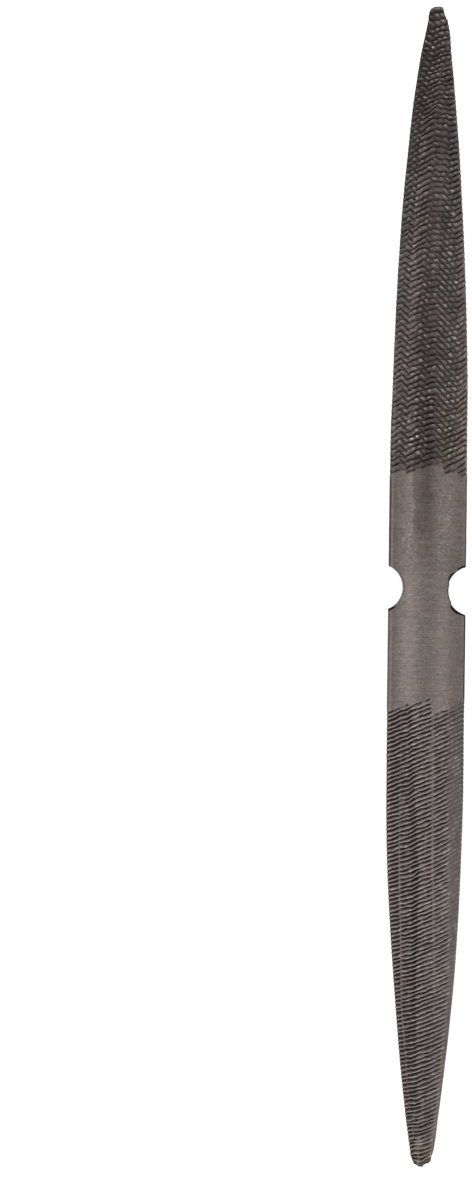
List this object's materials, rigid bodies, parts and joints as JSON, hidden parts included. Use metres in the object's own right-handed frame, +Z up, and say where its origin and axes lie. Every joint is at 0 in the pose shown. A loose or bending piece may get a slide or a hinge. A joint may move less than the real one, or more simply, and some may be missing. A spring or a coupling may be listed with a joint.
{
  "type": "wood file",
  "caption": "double-ended half-round wood file of one hardened steel bar, cut coarse at one end and fine at the other, with a plain notched waist between the cuts",
  "frame": {"origin": "middle of the plain waist, on the flat face that the file lies on", "axes": "+Y along the bar towards the coarse end, +Z up through the round face, +X to the right when the round face is seen from above with the coarse end at the top"},
  "size_m": [0.017, 0.254, 0.0046],
  "materials": {
    "hardened_steel": "warm dark grey hardened steel, ground along the plain waist, with darker gullets between bright tooth crests"
  },
  "bodies": {
    "root": {"file_blade": "hardened_steel"}
  },
  "joints": []
}
